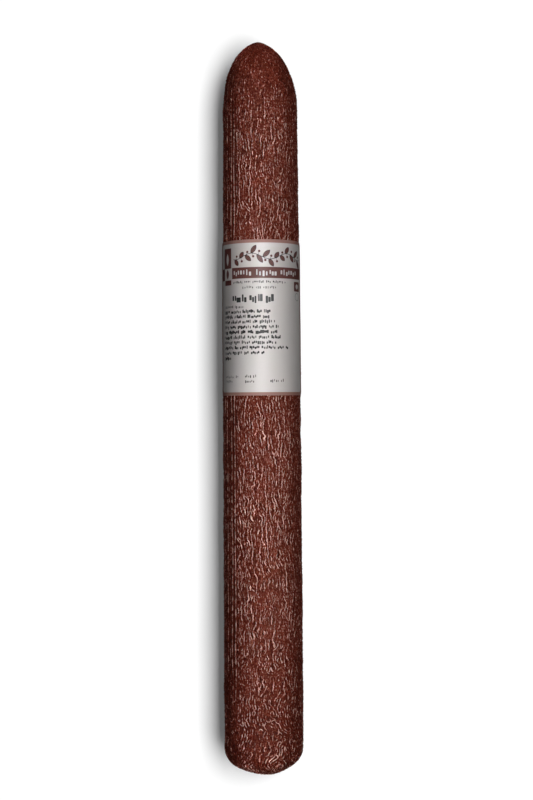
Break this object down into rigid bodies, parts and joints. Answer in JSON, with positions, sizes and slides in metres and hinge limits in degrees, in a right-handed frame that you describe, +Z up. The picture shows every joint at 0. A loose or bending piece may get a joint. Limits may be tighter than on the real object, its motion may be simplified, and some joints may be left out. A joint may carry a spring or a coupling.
{
  "type": "cured sausage",
  "caption": "Long whole cured sausage lying on its side, with a pointed end, a blunt end and a film label wrapped over its top.",
  "frame": {"origin": "on the table, under the middle of the sausage's length and width", "axes": "+Z up, +Y along the sausage towards its pointed end, +X to the right of someone looking along +Y"},
  "size_m": [0.0414, 0.3854, 0.041],
  "materials": {
    "casing": "glossy wrinkled dried sausage casing, dark red-brown",
    "label_film": "semi-gloss printed film, white panel with maroon and black print and a clear margin"
  },
  "bodies": {
    "root": {"sausage": "casing", "label": "label_film"}
  },
  "joints": []
}
